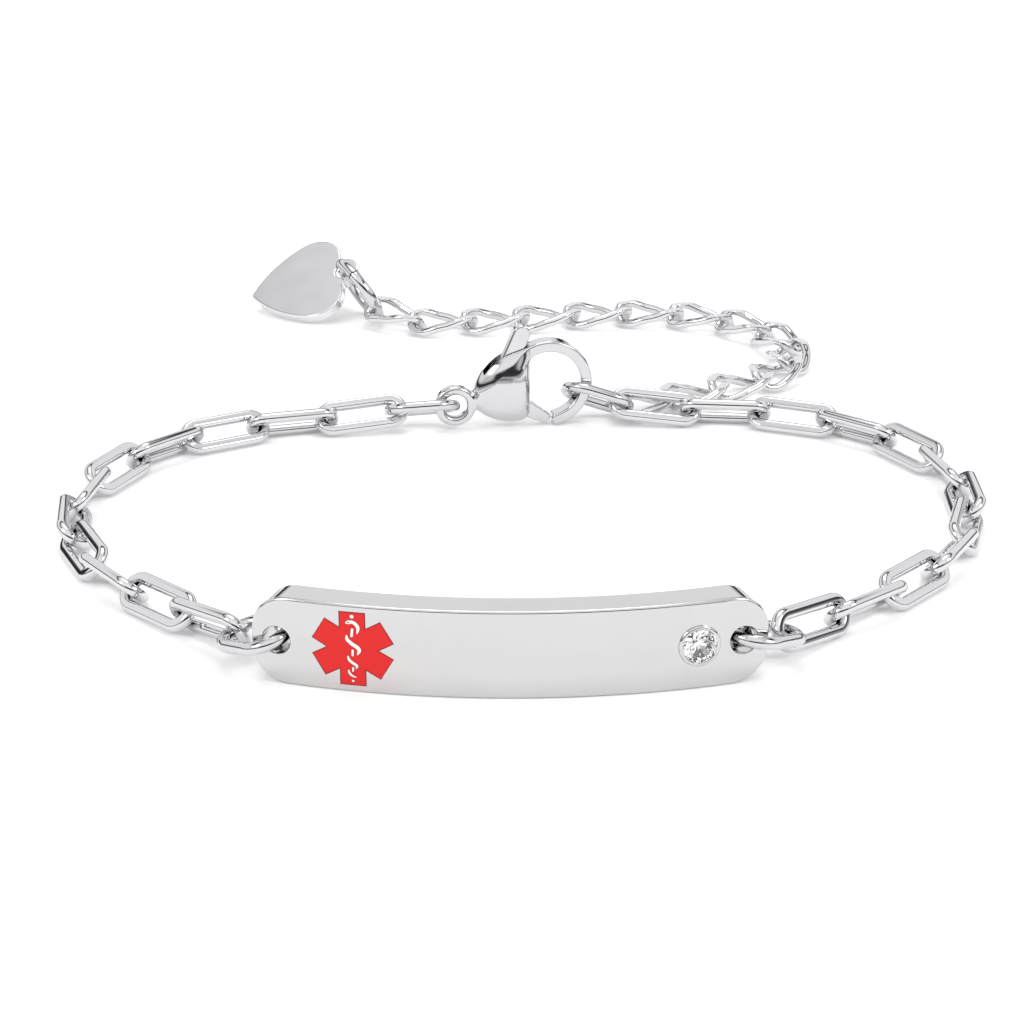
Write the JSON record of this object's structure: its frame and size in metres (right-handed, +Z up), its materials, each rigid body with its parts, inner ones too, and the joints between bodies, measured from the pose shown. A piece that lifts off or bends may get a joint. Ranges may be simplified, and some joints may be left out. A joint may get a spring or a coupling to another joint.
{
  "type": "medical alert bracelet",
  "caption": "Chain bracelet with a bent identity plate, red enamel six-armed star, clear stone, lobster clasp and a curb chain extender ending in a heart.",
  "frame": {"origin": "on the table under the middle of the bracelet's outline", "axes": "+Z up as the bracelet lies, +X along the identity plate, -Y out of the plate's face"},
  "size_m": [0.0709, 0.0896, 0.0089],
  "materials": {
    "plate_steel": "mirror polished stainless steel",
    "red_enamel": "glossy red enamel fill",
    "clear_stone": "cut and polished clear stone",
    "clasp_steel": "mirror polished stainless steel",
    "heart_steel": "mirror polished stainless steel",
    "ring_steel": "polished stainless steel wire",
    "link_steel": "polished stainless steel wire with flattened faces",
    "extender_steel": "polished stainless steel wire"
  },
  "bodies": {
    "bracelet": {"plate": "plate_steel", "emblem": "red_enamel", "stone": "clear_stone", "clasp_body": "clasp_steel", "heart": "heart_steel", "heart_ring": "ring_steel", "ring_plate_left": "ring_steel", "ring_plate_right": "ring_steel", "ring_clasp_eye": "ring_steel", "ring_clasp_hook": "ring_steel", "link_left_01": "link_steel", "link_left_02": "link_steel", "link_left_03": "link_steel", "link_left_04": "link_steel", "link_left_05": "link_steel", "link_left_06": "link_steel", "link_left_07": "link_steel", "link_left_08": "link_steel", "link_left_09": "link_steel", "link_left_10": "link_steel", "link_left_11": "link_steel", "link_right_01": "link_steel", "link_right_02": "link_steel", "link_right_03": "link_steel", "link_right_04": "link_steel", "link_right_05": "link_steel", "link_right_06": "link_steel", "link_right_07": "link_steel", "link_right_08": "link_steel", "link_right_09": "link_steel", "link_right_10": "link_steel", "link_right_11": "link_steel", "link_right_12": "link_steel", "extender_link_01": "extender_steel", "extender_link_02": "extender_steel", "extender_link_03": "extender_steel", "extender_link_04": "extender_steel", "extender_link_05": "extender_steel", "extender_link_06": "extender_steel", "extender_link_07": "extender_steel", "extender_link_08": "extender_steel", "extender_link_09": "extender_steel", "extender_link_10": "extender_steel", "extender_link_11": "extender_steel", "extender_link_12": "extender_steel", "extender_link_13": "extender_steel", "extender_link_14": "extender_steel"},
    "clasp_lever": {"clasp_lever": "clasp_steel"}
  },
  "joints": [
    {"name": "clasp_lever_hinge", "type": "hinge", "parent": "bracelet", "child": "clasp_lever", "pos_m": [-0.00209, 0.00759, 0.00295], "axis": [0.1885, -0.9821, 0], "range_deg": [0, 25], "stiffness_Nm_per_rad": 0.018, "springref_deg": -8.59}
  ]
}
